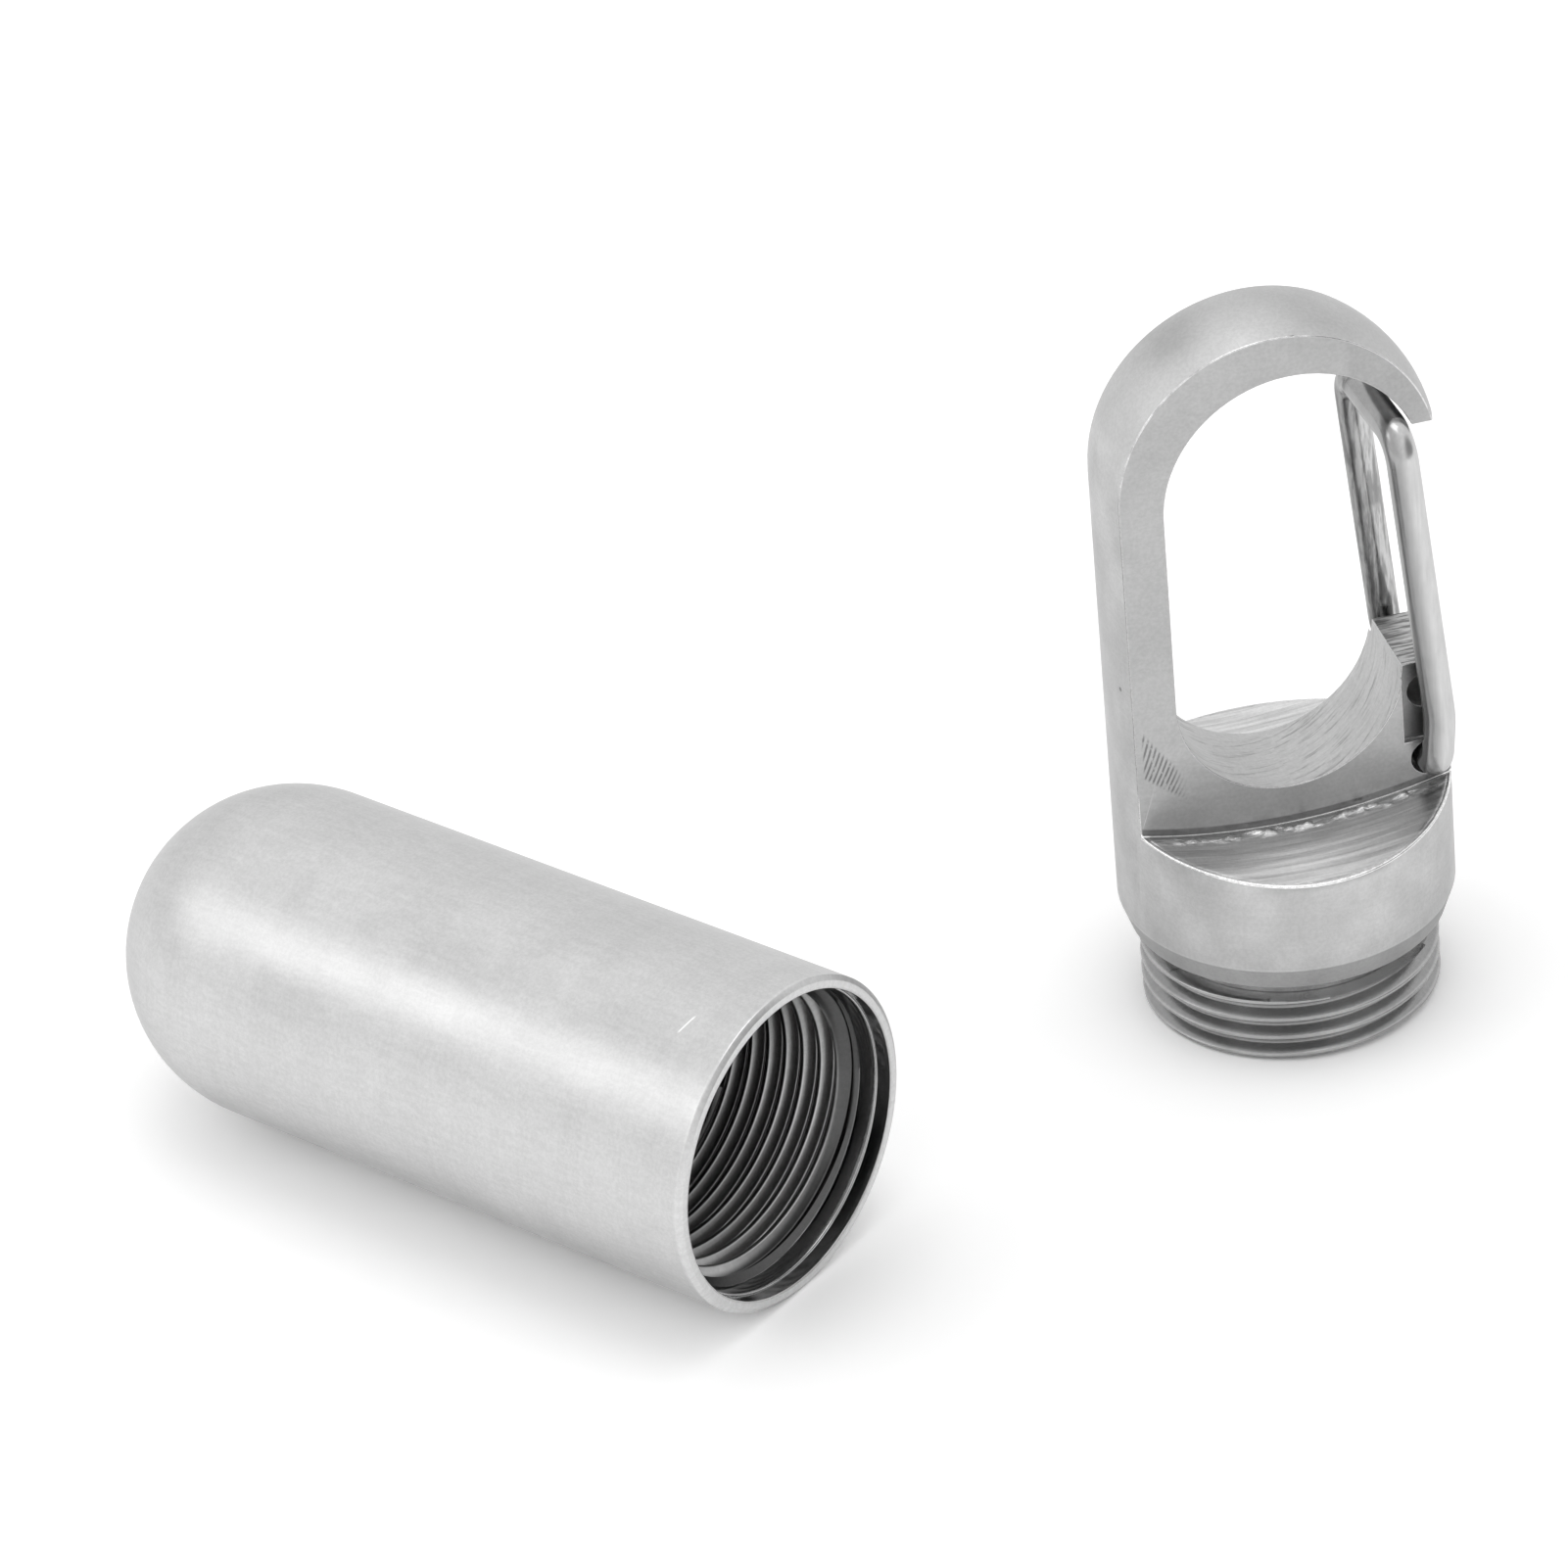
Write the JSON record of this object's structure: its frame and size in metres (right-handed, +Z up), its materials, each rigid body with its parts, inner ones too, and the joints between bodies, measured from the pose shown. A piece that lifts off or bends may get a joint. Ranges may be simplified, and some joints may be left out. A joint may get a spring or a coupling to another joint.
{
  "type": "pill fob keychain",
  "caption": "Small screw-together metal capsule, shown open: a round-ended tube lying down and a standing head whose milled hanger is a snap clip with a sprung wire gate.",
  "frame": {"origin": "centre of the flat end face of the head's threaded stub, on the surface that both loose halves rest on", "axes": "+Z up along the head's turning axis; +X along the hanger plate towards the gate; -Y towards the side the tube's mouth faces"},
  "size_m": [0.0622, 0.0361, 0.0367],
  "materials": {
    "case_metal": "fine satin, bead blasted or vapour honed, pale grey",
    "head_metal": "turned and milled, faint cutter marks on the flats and shelves",
    "gate_wire": "drawn spring wire, smooth and bright"
  },
  "bodies": {
    "capsule": {"capsule_tube": "case_metal", "carabiner_head": "head_metal"},
    "gate": {"wire_gate": "gate_wire"}
  },
  "joints": [
    {"name": "gate_hinge", "type": "hinge", "parent": "capsule", "child": "gate", "pos_m": [0.0066, 0, 0.01414], "axis": [-0.0015, -0.7332, -0.68], "range_deg": [0, 18], "stiffness_Nm_per_rad": 0.03, "springref_deg": -17.19}
  ]
}
